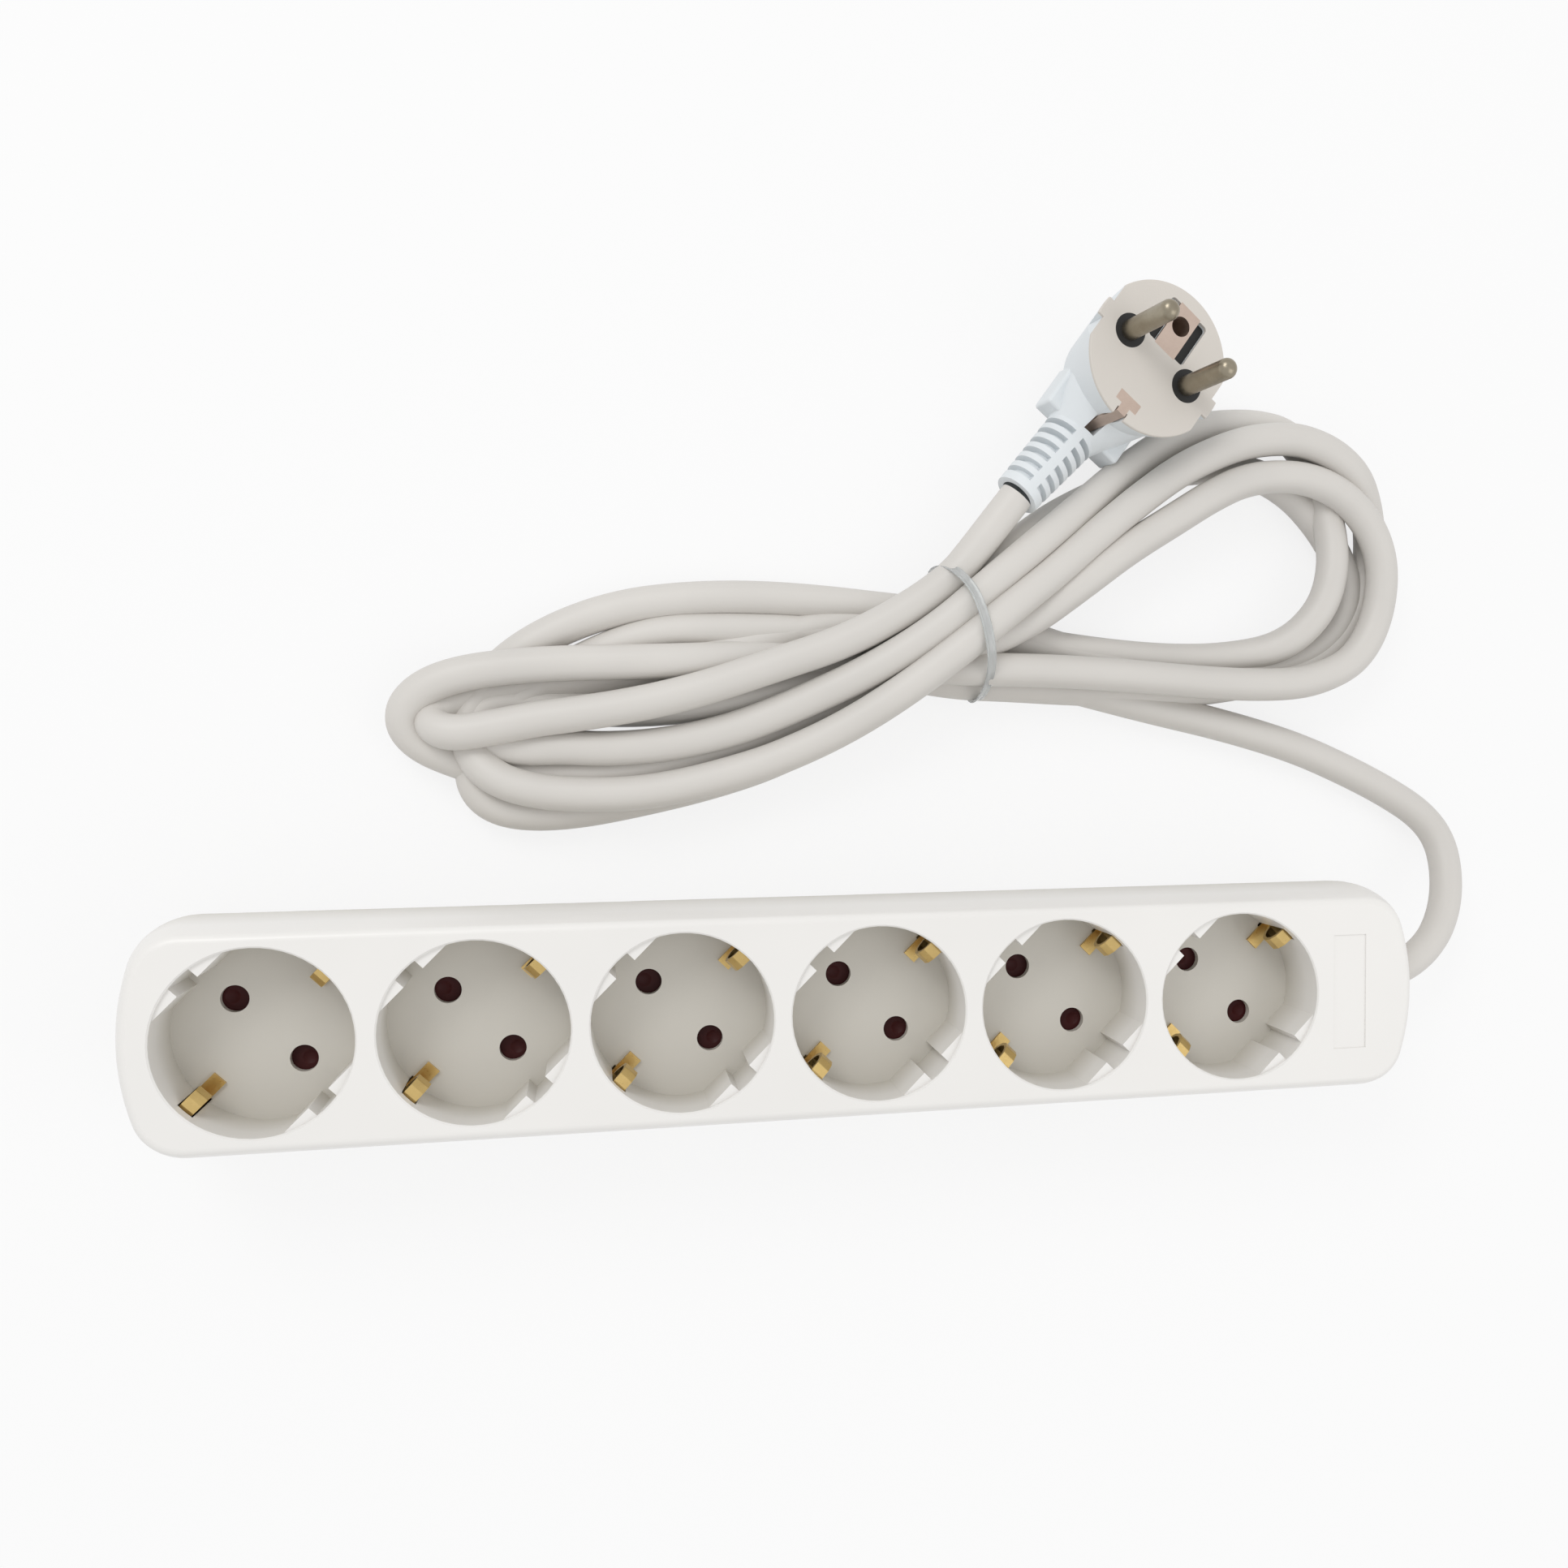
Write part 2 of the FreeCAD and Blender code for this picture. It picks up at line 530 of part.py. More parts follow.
END = V(HALF_LENGTH, 0, 0)  # the free cord and the plug are placed from the housing's right end
low = CORD_RADIUS + 0.2
bend_heights = [CORD_LEVEL, 18.2, 13.6, 9.0, 5.6]
tail_points = [V(CORD_FREE, 0, CORD_LEVEL)]
for step, z in enumerate(bend_heights):
    turn = math.radians(-75 + 30 * step)
    reach = BEND / math.cos(math.radians(15))
    tail_points.append(END + V(reach * math.cos(turn), BEND + reach * math.sin(turn), z))
tail_points += [END + V(-0.2, 53.3, low + 0.2), END + V(-18.5, 59.6, low), END + V(-36.6, 64.1, low)]
cord_tail, length, radii = tube(tail_points, CORD_RADIUS)
save("cord_tail", cord_tail)
report_tube("cord_tail", cord_tail, length, radii, CORD_RADIUS)

# The outer shape of the figure of eight, which narrows at the tie, and the opening of its right loops.
tail_end = tail_points[-1] - END
tail_way = (tail_points[-2] - tail_points[-1]).normalize()
tail_side = V(-tail_way.y, tail_way.x, 0) * (CORD_RADIUS + 0.3)
waist = V(-103.5, 85.6, 0)
waist_turn = 106.5
across = V(math.cos(math.radians(waist_turn)), math.sin(math.radians(waist_turn)), 0)
tie_top = waist + across * (BUNDLE_HALF + TIE_THICKNESS)
tie_foot = waist - across * (BUNDLE_HALF + TIE_THICKNESS)
hank_points = [
    (-122.5, 61.5), (-142.5, 55.5), (-166.5, 46.5), (-187.5, 41.2), (-204.5, 39.8), (-220.5, 43.5), (-231.5, 51.5),
    (-239, 62), (-239.5, 72), (-232, 79.5), (-219, 84.5), (-202.5, 90), (-185.5, 96), (-168.5, 98.2), (-148.5, 97.5),
    (-129, 98.5),
    (tie_top.x, tie_top.y),
    (-96, 110.5), (-80.5, 119.5), (-62.5, 132), (-46.5, 141.5), (-30.5, 145), (-14.5, 142), (-0.5, 133),
    (9.5, 119), (15, 104), (11.5, 90), (1.5, 79.5), (-12.5, 72.5), (-26.5, 69.2),
    (tail_end.x - tail_side.x, tail_end.y - tail_side.y), (tail_end.x + tail_side.x, tail_end.y + tail_side.y),
    (-50.5, 62.8), (-64.5, 66.2), (-80, 67.2),
    (tie_foot.x, tie_foot.y),
]
loop_points = [
    (-73, 91), (-60, 99), (-46, 108.5), (-33, 114), (-20, 113.5), (-11, 107), (-9, 98), (-14, 91.5), (-25, 87.5),
    (-40, 85.8), (-58, 86.6),
]


def plate(points):
    wire = closed_route([END + V(x, y, 0) for x, y in points])
    return Part.Face(wire).extrude(V(0, 0, HANK_HEIGHT))


def at_waist(shape):
    return turned(shape, waist_turn, END.x + waist.x, END.y + waist.y)


def arch(half, foot, top, y):
    """The outline of a round top across the strands, closed by a flat foot."""
    left, right = V(-half, y, foot), V(half, y, foot)
    return Part.Wire([Part.Arc(left, V(0, y, top), right).toShape(), Part.LineSegment(right, left).toShape()])


seat_under = TIE_THICKNESS + 2 * TIE_GAP
shoulder = BUNDLE_TOP - BUNDLE_HALF


def seat(grow, width):
    """What the tie goes round, grown all round: an upright foot with rounded corners under a round top."""
    half = BUNDLE_HALF + grow
    foot = box(-half, half, -width / 2, width / 2, seat_under - grow, shoulder)
    corners = [e for e in foot.Edges if abs(e.BoundBox.YLength - width) < 0.01 and e.BoundBox.ZMax < shoulder - 0.1]
    foot = foot.makeFillet(2.0 + grow, corners)
    top = Part.Face(arch(half, shoulder, BUNDLE_TOP + grow, -width / 2)).extrude(V(0, width, 0))
    return foot.fuse(top).removeSplitter()


crest = BUNDLE_TOP + TIE_GAP + TIE_THICKNESS
hump = Part.makeLoft(
    [
        arch(0.65 * BUNDLE_HALF, 0.3 * HANK_HEIGHT, HANK_HEIGHT - 0.5, -BUNDLE_SPREAD),
        arch(BUNDLE_HALF, shoulder, crest, 0),
        arch(0.65 * BUNDLE_HALF, 0.3 * HANK_HEIGHT, HANK_HEIGHT - 0.5, BUNDLE_SPREAD),
    ],
    True,
)
groove_width = TIE_WIDTH + 6 * TIE_GAP
groove = box(-40, 40, -groove_width / 2, groove_width / 2, -1, 2 * BUNDLE_TOP).cut(seat(0, 2 * groove_width))
cord_hank = plate(hank_points).cut(plate(loop_points)).fuse(at_waist(hump)).cut(at_waist(groove))
save("cable_tie", at_waist(seat(TIE_GAP + TIE_THICKNESS, TIE_WIDTH).cut(seat(TIE_GAP, 2 * TIE_WIDTH))))

# ---------------------------------------------------------------- plug

plug_turn = FreeCAD.Rotation(UP, PLUG_TURN)
lean_axis = V(-math.sin(math.radians(PLUG_LEAN_TOWARDS)), math.cos(math.radians(PLUG_LEAN_TOWARDS)), 0)
plug_place = FreeCAD.Placement(END + PLUG_CENTRE, FreeCAD.Rotation(lean_axis, PLUG_LEAN) * plug_turn)
PLUG_RADIUS = PLUG_DIAMETER / 2
relief_turn_at = V(0, -10, 0)


def placed(shape):
    """A copy moved from the plug's own frame: pins up its Z, pin line along its X, cord out at its -Y."""
    copy = shape.copy()
    copy.transformShape(plug_place.toMatrix())
    return copy


def plug_keys(z0, z1):
    """What is cut from the plug's round outline: a flat at each end of the pin line, but for its key."""
    cut = None
    for side in (0, 180):
        flat = box(PLUG_FLATS, PLUG_RADIUS + 1, -PLUG_RADIUS, PLUG_RADIUS, z0 - 1, z1 + 1)
        flat = flat.cut(box(PLUG_FLATS - 1, PLUG_RADIUS + 2, -PLUG_KEY / 2, PLUG_KEY / 2, z0 - 2, z1 + 2))
        flat = turned(flat, side)
        cut = flat if cut is None else cut.fuse(flat)
    return cut


def along_relief(shape):
    copy = shape.copy()
    copy.rotate(relief_turn_at, UP, -RELIEF_TURN)
    return copy


def build_relief():
    """The neck and the slotted strain relief, which bends a little to one side."""
    top = V(0, -RELIEF_START, RELIEF_LEVEL)
    out = V(0, -1, 0)
    neck_middle = -(PLUG_HEIGHT + PLUG_FACE) / 2
    neck_radius = (PLUG_HEIGHT - PLUG_FACE) / 2 - 0.3
    neck = Part.makeLoft(
        [
            Part.Wire([Part.Circle(V(0, -8, neck_middle), out, neck_radius).toShape()]),
            Part.Wire([Part.Circle(top, out, RELIEF_TOP_RADIUS).toShape()]),
        ],
        True,
        True,
    )
    relief = Part.makeCone(RELIEF_TOP_RADIUS, RELIEF_END_RADIUS, RELIEF_LENGTH, top, out)
    keep = Part.makeCylinder(CORD_RADIUS + 0.3, RELIEF_LENGTH, top, out)
    pitch = (RELIEF_LENGTH - 2.0) / RELIEF_SLOTS
    for i in range(RELIEF_SLOTS):
        y = -RELIEF_START - 1.2 - i * pitch
        for side in (0, 180):
            slot = box(RELIEF_SPINE, 12, y - RELIEF_SLOT, y, RELIEF_LEVEL - 9, RELIEF_LEVEL + 9)
            if side:
                slot = slot.mirror(V(0, 0, 0), V(1, 0, 0))
            relief = relief.cut(slot.cut(keep))
    bore = Part.makeCylinder(CORD_RADIUS + 0.05, 8, V(0, -RELIEF_START - RELIEF_LENGTH + 8, RELIEF_LEVEL), out)
    return along_relief(neck.fuse(relief).cut(bore))


pin_places = [V(side * PIN_ORBIT, 0, 0) for side in (-1, 1)]


def plug_pin(place):
    pin = rod(PLUG_PIN_RADIUS, 0, PLUG_PIN_LENGTH, place.x, place.y)
    tip = [e for e in pin.Edges if abs(e.BoundBox.ZMin - PLUG_PIN_LENGTH) < 0.01]
    pin = pin.makeFillet(0.85 * PLUG_PIN_RADIUS, tip)
    return pin.fuse(rod(PLUG_ROOT_RADIUS, -PLUG_PIN_ROOT, 0, place.x, place.y))


def collar(place):
    ring = rod(COLLAR_RADIUS, -COLLAR_DEPTH, 0, place.x, place.y)
    return ring.cut(rod(PLUG_ROOT_RADIUS, -PLUG_PIN_ROOT, 1, place.x, place.y))


strip_foot = -RECESS_DEPTH
plate_half = EARTH_PLATE_WIDTH / 2
tab_half = EARTH_TAB_WIDTH / 2
earth_strip = box(-tab_half, tab_half, -17.2, -16.2, strip_foot, 0)
earth_strip = earth_strip.fuse(box(-tab_half, tab_half, -17.2, -12.3, -STRIP, 0))
earth_strip = earth_strip.fuse(box(-plate_half, plate_half, -15.0, -12.3, -STRIP, 0)).removeSplitter()
earth_plate = box(-plate_half, plate_half, 2.4, 15.0, -STRIP, 0)
earth_plate = earth_plate.cut(rod(EARTH_HOLE_RADIUS, -PLUG_HEIGHT, 1, 0, EARTH_HOLE_OFFSET))
sleeve_outer = rod(EARTH_HOLE_RADIUS + EARTH_SLEEVE, -14, -STRIP, 0, EARTH_HOLE_OFFSET)
earth_sleeve = sleeve_outer.cut(rod(EARTH_HOLE_RADIUS, -15, 0, 0, EARTH_HOLE_OFFSET))
bridge_half = BRIDGE_WIDTH / 2
plug_bridge = box(-bridge_half, bridge_half, 2.8, 14.6, BRIDGE_LEVEL - BRIDGE_THICKNESS, BRIDGE_LEVEL)
plug_bridge = plug_bridge.makeFillet(1.0, [e for e in plug_bridge.Edges if abs(e.BoundBox.ZLength - BRIDGE_THICKNESS) < 0.01])
bridge_opening = plug_bridge.copy()
for side in (0, 180):
    slot = box(plate_half, bridge_half, 2.8, 14.6, BRIDGE_LEVEL - 0.1, 1)
    slot = slot.makeFillet(1.0, [e for e in slot.Edges if e.BoundBox.ZLength > 1 and e.BoundBox.XMin > bridge_half - 0.1])
    if side:
        slot = slot.mirror(V(0, 0, 0), V(1, 0, 0))
    bridge_opening = bridge_opening.fuse(slot)
plug_bridge = plug_bridge.cut(sleeve_outer)
side_groove = box(-tab_half - 0.3, tab_half + 0.3, -19.4, -16.2, strip_foot, 1)
pockets = [side_groove, earth_strip, box(-plate_half, plate_half, 2.4, 15.0, -STRIP, 1), sleeve_outer, bridge_opening]
pockets += [rod(EARTH_HOLE_RADIUS, -14, 1, 0, EARTH_HOLE_OFFSET)]
for place in pin_places:
    pockets.append(rod(PLUG_ROOT_RADIUS, -PLUG_PIN_ROOT, 1, place.x, place.y))
    pockets.append(rod(COLLAR_RADIUS, -COLLAR_DEPTH, 1, place.x, place.y))

plug_face = rod(PLUG_RADIUS, -PLUG_FACE, 0)
plug_face = plug_face.makeFillet(0.3, [e for e in plug_face.Edges if abs(e.BoundBox.ZMin) < 0.01])
plug_face = plug_face.cut(plug_keys(-PLUG_FACE, 0))
for pocket in pockets:
    plug_face = plug_face.cut(pocket)

plug_body = Part.makeCone(PLUG_BACK_RADIUS, PLUG_RADIUS, PLUG_HEIGHT - PLUG_FACE, V(0, 0, -PLUG_HEIGHT))
plug_body = plug_body.makeFillet(3.0, [e for e in plug_body.Edges if abs(e.BoundBox.ZMax + PLUG_HEIGHT) < 0.01])
plug_body = plug_body.cut(plug_keys(-PLUG_HEIGHT, -PLUG_FACE))
for side in (-1, 1):
    grip = box(5.5, GRIP_REACH, -18.5, -6.5, -PLUG_HEIGHT + 1.0, -17.0)
    grip = grip.makeFillet(0.9, grip.Edges)
    if side < 0:
        grip = grip.mirror(V(0, 0, 0), V(1, 0, 0))
    plug_body = plug_body.fuse(grip)
plug_body = plug_body.fuse(build_relief())
for pocket in pockets:
    plug_body = plug_body.cut(pocket)

save("plug_face", placed(plug_face.removeSplitter()))
save("plug_body", placed(plug_body.removeSplitter()))
for number, place in enumerate(pin_places, 1):
    save(f"plug_pin_{number}", placed(plug_pin(place)))
    save(f"plug_collar_{number}", placed(collar(place)))
save("plug_earth_plate", placed(earth_plate))
save("plug_earth_sleeve", placed(earth_sleeve))
save("plug_earth_strip", placed(earth_strip))
save("plug_bridge", placed(plug_bridge))

# The short stretch from the tie to the plug.
relief_tip = V(0, -RELIEF_START - RELIEF_LENGTH, RELIEF_LEVEL)
swing = FreeCAD.Placement(V(0, 0, 0), FreeCAD.Rotation(UP, -RELIEF_TURN), relief_turn_at)
lead_start = plug_place.multVec(swing.multVec(relief_tip))
lead_way = plug_place.multVec(swing.multVec(relief_tip + V(0, -10.2, 0)))
lead_points = [lead_start, lead_way, END + V(-102.7, 106.7, 16.3)]
cord_plug_lead, length, radii = tube(lead_points, CORD_RADIUS)
save("cord_plug_lead", cord_plug_lead)
report_tube("cord_plug_lead", cord_plug_lead, length, radii, CORD_RADIUS)
save("cord_hank", cord_hank.cut(cord_tail).cut(cord_plug_lead).cut(made["plug_body"]).cut(made["plug_face"]))

low_points = ", ".join(f"{name} {shape.BoundBox.ZMin:.2f}" for name, shape in made.items() if name.startswith(("plug", "cable", "cord")))
print("lowest points:", low_points)
for name, shape in made.items():
    if not shape.isValid() or len(shape.Solids) != 1:
        print(f"{name}: valid {shape.isValid()}, solids {len(shape.Solids)}")
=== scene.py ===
"""A power strip with its tied cord and angled plug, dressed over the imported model.

Lengths are metres in the part's own frame, and the points of the cord and the tie are millimetres.
"""

import math

import bpy
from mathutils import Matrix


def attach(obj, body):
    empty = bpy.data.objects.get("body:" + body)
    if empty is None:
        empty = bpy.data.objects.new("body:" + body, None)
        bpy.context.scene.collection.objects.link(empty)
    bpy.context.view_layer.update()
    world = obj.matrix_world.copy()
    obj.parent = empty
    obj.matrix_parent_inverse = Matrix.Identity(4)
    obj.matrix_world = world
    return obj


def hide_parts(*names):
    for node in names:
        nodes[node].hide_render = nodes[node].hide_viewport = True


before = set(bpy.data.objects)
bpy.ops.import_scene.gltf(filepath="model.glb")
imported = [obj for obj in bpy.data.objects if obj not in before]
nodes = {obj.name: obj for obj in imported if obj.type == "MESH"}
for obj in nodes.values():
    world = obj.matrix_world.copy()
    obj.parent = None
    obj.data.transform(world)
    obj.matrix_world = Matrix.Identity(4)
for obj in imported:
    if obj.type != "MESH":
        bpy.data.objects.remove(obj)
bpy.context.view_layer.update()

scene = bpy.context.scene


# ---------------------------------------------------------------- camera, floor and light

# The part lies on a white table under soft light. The camera hangs above the left half of the
# housing and looks almost straight down, so the right end runs away from it.
camera_data = bpy.data.cameras.new("camera")
camera_data.lens = 35.67
camera_data.sensor_width = 36
camera_data.shift_x = -0.1191
camera_data.shift_y = 0.02
camera_data.clip_start = 0.01
camera = bpy.data.objects.new("camera", camera_data)
camera.location = (-0.04855, 0.06072, 0.37731)
camera.rotation_euler = [math.radians(a) for a in (-2.717, -13.586, -0.355)]
scene.collection.objects.link(camera)
scene.camera = camera
scene.view_settings.view_transform = "Standard"


def add(tree, kind, **settings):
    """A new node in a tree, with its settings."""
    node = tree.nodes.new(kind)
    for key, value in settings.items():
        setattr(node, key, value)
    return node


# The floor is one large pale sheet just under the feet of the part. The camera sees it as plain
# white by the share below, and the rest of its tone keeps the shadows.
floor_level = -0.0004
white_share = 0.8
floor_mesh = bpy.data.meshes.new("floor")
floor_corners = [(x, y, floor_level) for x, y in ((-3, -3), (3, -3), (3, 3), (-3, 3))]
floor_mesh.from_pydata(floor_corners, [], [(0, 1, 2, 3)])
floor = bpy.data.objects.new("floor", floor_mesh)
scene.collection.objects.link(floor)
floor_material = bpy.data.materials.new("floor")
floor_material.use_nodes = True
floor_tree = floor_material.node_tree
floor_shader = floor_tree.nodes["Principled BSDF"]
floor_shader.inputs["Base Color"].default_value = (0.8, 0.8, 0.8, 1)
floor_shader.inputs["Roughness"].default_value = 0.9
floor_rays = add(floor_tree, "ShaderNodeLightPath")
floor_white = add(floor_tree, "ShaderNodeEmission")
floor_seen = add(floor_tree, "ShaderNodeMath", operation="MAXIMUM")
floor_tree.links.new(floor_rays.outputs["Is Camera Ray"], floor_seen.inputs[0])
floor_tree.links.new(floor_rays.outputs["Is Glossy Ray"], floor_seen.inputs[1])
floor_seen_all = add(floor_tree, "ShaderNodeMath", operation="MAXIMUM")
floor_tree.links.new(floor_seen.outputs[0], floor_seen_all.inputs[0])
floor_tree.links.new(floor_rays.outputs["Is Transmission Ray"], floor_seen_all.inputs[1])
floor_share = add(floor_tree, "ShaderNodeMath", operation="MULTIPLY")
floor_share.inputs[1].default_value = white_share
floor_tree.links.new(floor_seen_all.outputs[0], floor_share.inputs[0])
floor_mix = add(floor_tree, "ShaderNodeMixShader")
floor_tree.links.new(floor_share.outputs[0], floor_mix.inputs[0])
floor_tree.links.new(floor_shader.outputs[0], floor_mix.inputs[1])
floor_tree.links.new(floor_white.outputs[0], floor_mix.inputs[2])
floor_tree.links.new(floor_mix.outputs[0], floor_tree.nodes["Material Output"].inputs["Surface"])
floor_mesh.materials.append(floor_material)


def lamp(name, place, turn, size, watts):
    """A soft square lamp that faces down its own Z."""
    data = bpy.data.lights.new(name, "AREA")
    data.size = size
    data.energy = watts
    lamp_object = bpy.data.objects.new(name, data)
    lamp_object.location = place
    lamp_object.rotation_euler = [math.radians(a) for a in turn]
    scene.collection.objects.link(lamp_object)


# The room is an even white, with a soft key light from behind and a weaker fill from the right.
world = bpy.data.worlds.new("studio")
world.use_nodes = True
world.node_tree.nodes["Background"].inputs["Color"].default_value = (1, 1, 1, 1)
world.node_tree.nodes["Background"].inputs["Strength"].default_value = 0.8
scene.world = world

lamp("key", (-0.45, 0.75, 0.9), (-38, -24, 0), 0.5, 3.6)
lamp("fill", (0.8, -0.3, 0.9), (20, 38, 0), 0.8, 1.9)


# ---------------------------------------------------------------- cover

# The cover is one moulding of warm white plastic, satin, with six round wells sunk in its face.
# It carries all the other pieces and stands on its rim, with the base plate let in from below.


def new_group(name, inputs, outputs):
    """An empty shader node group with float and colour sockets."""
    group = bpy.data.node_groups.new(name, "ShaderNodeTree")
    for label, kind, value in inputs:
        socket = group.interface.new_socket(label, in_out="INPUT", socket_type=kind)
        socket.default_value = value
    for label, kind in outputs:
        group.interface.new_socket(label, in_out="OUTPUT", socket_type=kind)
    group.nodes.new("NodeGroupInput")
    group.nodes.new("NodeGroupOutput")
    return group


def noise_node(tree, vector, scale, detail=3.0, roughness=0.5):
    """A noise over the given place; its Factor output comes back."""
    node = add(tree, "ShaderNodeTexNoise")
    node.inputs["Scale"].default_value = scale
    node.inputs["Detail"].default_value = detail
    node.inputs["Roughness"].default_value = roughness
    tree.links.new(vector, node.inputs["Vector"])
    return node.outputs["Fac"]


# Moulded plastic, for every plastic piece: a fine grain, a slow unevenness of the gloss and a
# slight drift of the colour.
moulded = new_group(
    "moulded_plastic",
    [
        ("Colour", "NodeSocketColor", (0.8, 0.8, 0.8, 1)),
        ("Drift", "NodeSocketFloat", 0.03),
        ("Grain Scale", "NodeSocketFloat", 2600.0),
        ("Grain Depth", "NodeSocketFloat", 0.02),
        ("Roughness", "NodeSocketFloat", 0.35),
    ],
    [("Colour", "NodeSocketColor"), ("Roughness", "NodeSocketFloat"), ("Normal", "NodeSocketVector")],
)
into, out = moulded.nodes["Group Input"], moulded.nodes["Group Output"]
place = add(moulded, "ShaderNodeTexCoord").outputs["Object"]
cloud = noise_node(moulded, place, 28.0)
shade = add(moulded, "ShaderNodeMapRange")
moulded.links.new(cloud, shade.inputs["Value"])
shade.inputs["From Min"].default_value = 0.3
shade.inputs["From Max"].default_value = 0.7
spread = add(moulded, "ShaderNodeMath", operation="SUBTRACT")
spread.inputs[0].default_value = 1.0
moulded.links.new(into.outputs["Drift"], spread.inputs[1])
moulded.links.new(spread.outputs[0], shade.inputs["To Min"])
shade.inputs["To Max"].default_value = 1.0
tint = add(moulded, "ShaderNodeVectorMath", operation="SCALE")
moulded.links.new(into.outputs["Colour"], tint.inputs[0])
moulded.links.new(shade.outputs["Result"], tint.inputs["Scale"])
moulded.links.new(tint.outputs["Vector"], out.inputs["Colour"])
grain = add(moulded, "ShaderNodeTexNoise")
grain.inputs["Detail"].default_value = 2.0
moulded.links.new(place, grain.inputs["Vector"])
moulded.links.new(into.outputs["Grain Scale"], grain.inputs["Scale"])
rough = add(moulded, "ShaderNodeMath", operation="MULTIPLY_ADD")
moulded.links.new(cloud, rough.inputs[0])
rough.inputs[1].default_value = 0.12
moulded.links.new(into.outputs["Roughness"], rough.inputs[2])
moulded.links.new(rough.outputs[0], out.inputs["Roughness"])
fine = add(moulded, "ShaderNodeBump")
fine.inputs["Distance"].default_value = 0.0002
moulded.links.new(into.outputs["Grain Depth"], fine.inputs["Strength"])
moulded.links.new(grain.outputs["Fac"], fine.inputs["Height"])
moulded.links.new(fine.outputs["Normal"], out.inputs["Normal"])


def finish_with(name, group, values, metallic=0.0, **shader_values):
    """A material whose colour, roughness and normal come from a group, with the rest set on the shader."""
    material = bpy.data.materials.new(name)
    material.use_nodes = True
    tree = material.node_tree
    shader = tree.nodes["Principled BSDF"]
    effect = add(tree, "ShaderNodeGroup", node_tree=group)
    for label, value in values.items():
        effect.inputs[label].default_value = value
    tree.links.new(effect.outputs["Colour"], shader.inputs["Base Color"])
    tree.links.new(effect.outputs["Roughness"], shader.inputs["Roughness"])
    tree.links.new(effect.outputs["Normal"], shader.inputs["Normal"])
    shader.inputs["Metallic"].default_value = metallic
    for label, value in shader_values.items():
        shader.inputs[label].default_value = value
    return material


def paint(material, *names):
    """Give the CAD pieces of these names one finish."""
    for name in names:
        slots = nodes[name].material_slots
        for slot in slots:
            slot.material = material
        if not slots:
            nodes[name].data.materials.append(material)


cover_white = finish_with(
    "cover_white",
    moulded,
    {"Colour": (0.83, 0.815, 0.79, 1), "Drift": 0.025, "Roughness": 0.28},
    **{"Subsurface Weight": 0.0},
)
# Down in the wells less light arrives, so shade is painted into the colour: the white goes a warm grey
# from the shoulder to the floor.
# The mask goes by height, so the foot of the outer walls takes the same painted shade.
well_floor = 0.0225
well_shoulder = 0.034
painted_well_shade = (0.625, 0.6, 0.545, 1)
cover_tree = cover_white.node_tree
well_height = add(cover_tree, "ShaderNodeSeparateXYZ")
cover_tree.links.new(add(cover_tree, "ShaderNodeTexCoord").outputs["Object"], well_height.inputs[0])
painted_shade_mask = add(cover_tree, "ShaderNodeMapRange")
painted_shade_mask.inputs["From Min"].default_value = well_floor
painted_shade_mask.inputs["From Max"].default_value = well_shoulder
painted_shade_mask.inputs["To Min"].default_value = 1.0
painted_shade_mask.inputs["To Max"].default_value = 0.0
cover_tree.links.new(well_height.outputs["Z"], painted_shade_mask.inputs["Value"])
# The painted shade is mixed over the cover's own colour by the height mask.
painted_shade_mix = add(cover_tree, "ShaderNodeMix", data_type="RGBA")
cover_shader = cover_tree.nodes["Principled BSDF"]
cover_tree.links.new(painted_shade_mask.outputs["Result"], painted_shade_mix.inputs["Factor"])
cover_tree.links.new(cover_shader.inputs["Base Color"].links[0].from_socket, painted_shade_mix.inputs["A"])
painted_shade_mix.inputs["B"].default_value = painted_well_shade
cover_tree.links.new(painted_shade_mix.outputs["Result"], cover_shader.inputs["Base Color"])
paint(cover_white, "top_cover")

# ---------------------------------------------------------------- base plate

# The base is a flat plate of the same white, a little duller and coarser than the cover. It is let
# into the cover from below and held by four screws.
base_white = finish_with(
    "base_white", moulded, {"Colour": (0.76, 0.75, 0.73, 1), "Roughness": 0.5, "Grain Depth": 0.08}
)
paint(base_white, "base_cover")

# ---------------------------------------------------------------- screws, washers and springs

# The four cover screws, the clamp's two screws, and the washer and spring of each shutter are
# zinc-plated steel, turned or wound, bright with a grey cloud in it.


def each(stem, count):
    """The names of like pieces, which are numbered from 1."""
    return [f"{stem}_{i}" for i in range(1, count + 1)]


# Metal, for every metal piece: fine streaks in the gloss and a cloudy tarnish in the colour.
stamped = new_group(
    "stamped_metal",
    [
        ("Colour", "NodeSocketColor", (0.7, 0.6, 0.3, 1)),
        ("Tarnish", "NodeSocketColor", (0.3, 0.2, 0.1, 1)),
        ("Amount", "NodeSocketFloat", 0.4),
        ("Roughness", "NodeSocketFloat", 0.3),
    ],
    [("Colour", "NodeSocketColor"), ("Roughness", "NodeSocketFloat"), ("Normal", "NodeSocketVector")],
)
into, out = stamped.nodes["Group Input"], stamped.nodes["Group Output"]
place = add(stamped, "ShaderNodeTexCoord").outputs["Object"]
cloud = noise_node(stamped, place, 260.0, 4.0, 0.6)
stain = add(stamped, "ShaderNodeMath", operation="MULTIPLY")
stamped.links.new(cloud, stain.inputs[0])
stamped.links.new(into.outputs["Amount"], stain.inputs[1])
blend = add(stamped, "ShaderNodeMix", data_type="RGBA")
stamped.links.new(stain.outputs[0], blend.inputs["Factor"])
stamped.links.new(into.outputs["Colour"], blend.inputs["A"])
stamped.links.new(into.outputs["Tarnish"], blend.inputs["B"])
stamped.links.new(blend.outputs["Result"], out.inputs["Colour"])
streaks = noise_node(stamped, place, 2200.0, 2.0)
rough = add(stamped, "ShaderNodeMath", operation="MULTIPLY_ADD")
stamped.links.new(streaks, rough.inputs[0])
rough.inputs[1].default_value = 0.25
